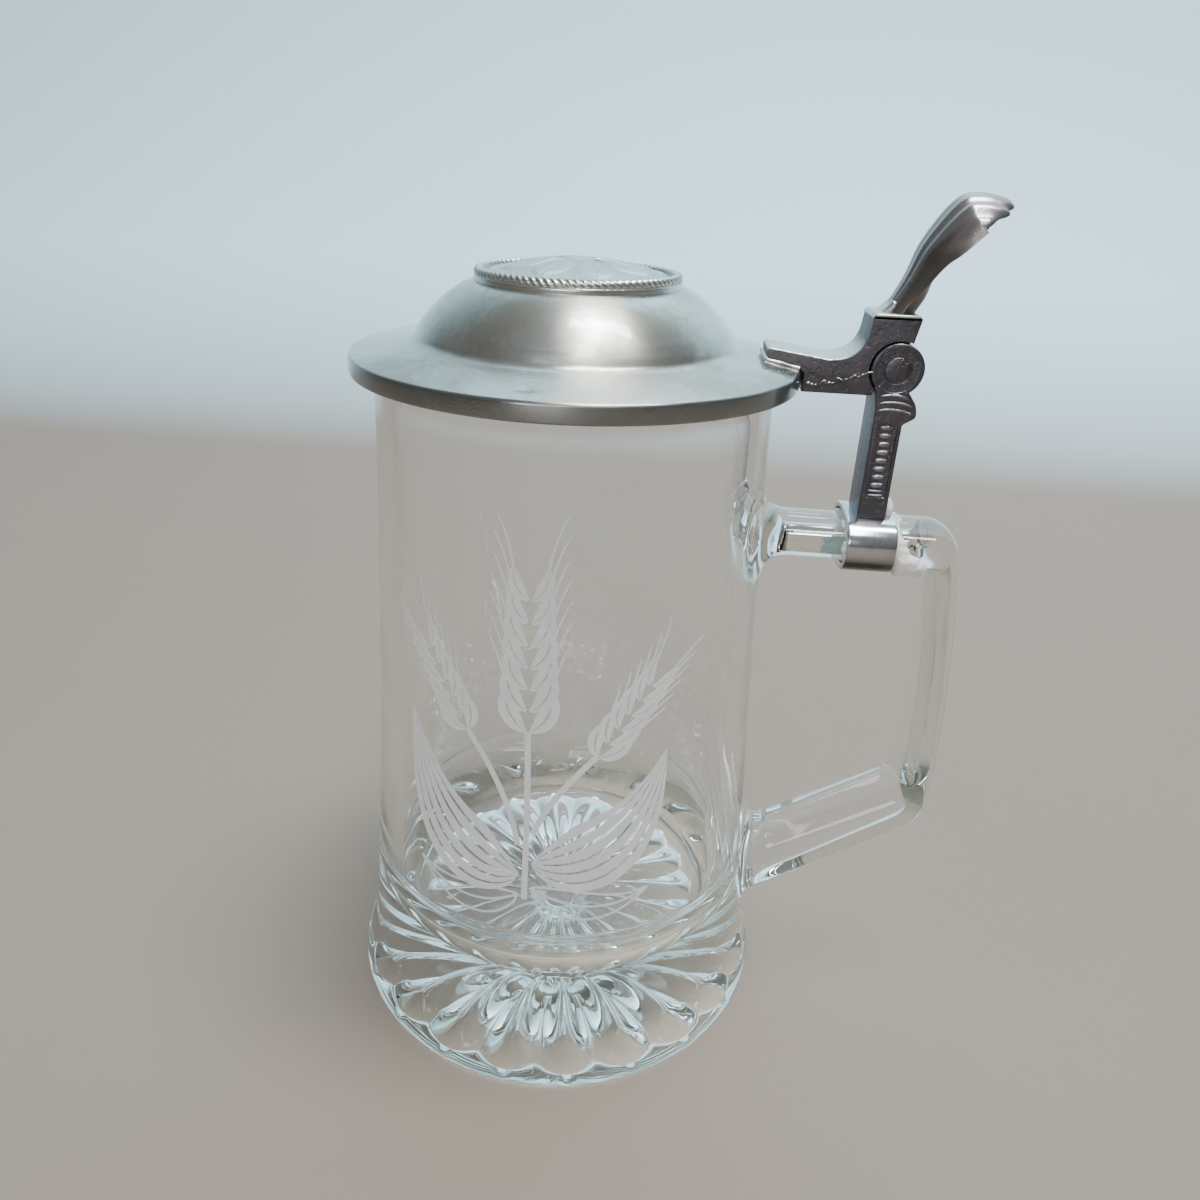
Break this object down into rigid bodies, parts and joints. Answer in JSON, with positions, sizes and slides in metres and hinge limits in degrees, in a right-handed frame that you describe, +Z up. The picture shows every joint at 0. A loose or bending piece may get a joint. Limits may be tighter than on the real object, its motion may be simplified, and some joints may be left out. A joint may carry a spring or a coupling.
{
  "type": "lidded beer stein",
  "caption": "Clear pressed-glass beer stein with a sunburst base and a side handle, and a domed pewter lid hinged on a strap round the handle, raised with a shell thumblift.",
  "frame": {"origin": "centre of the flat underside of the glass foot", "axes": "+Z up along the mug's axis, +X from the mug towards its handle and hinge, +Y across the handle along the hinge pin"},
  "size_m": [0.137, 0.1, 0.1837],
  "materials": {
    "clear_glass": "clear pressed glass with a faint grey-green tint",
    "spun_pewter": "satin spun pewter",
    "cast_pewter": "dark cast pewter with a rough skin",
    "bright_pewter": "rubbed bright cast pewter",
    "polished_band": "polished strip",
    "plaster": "rough white cement"
  },
  "bodies": {
    "mug": {"glass_mug": "clear_glass", "handle_band": "polished_band", "band_cement": "plaster", "hinge_shank": "cast_pewter", "hinge_pin": "cast_pewter"},
    "lid": {"lid_shell": "spun_pewter", "lid_medallion": "spun_pewter", "lid_lug": "cast_pewter", "thumblift": "bright_pewter"}
  },
  "joints": [
    {"name": "lid_hinge", "type": "hinge", "parent": "mug", "child": "lid", "pos_m": [0.0623, 0, 0.1521], "axis": [0, 1, 0], "range_deg": [0, 105]}
  ]
}
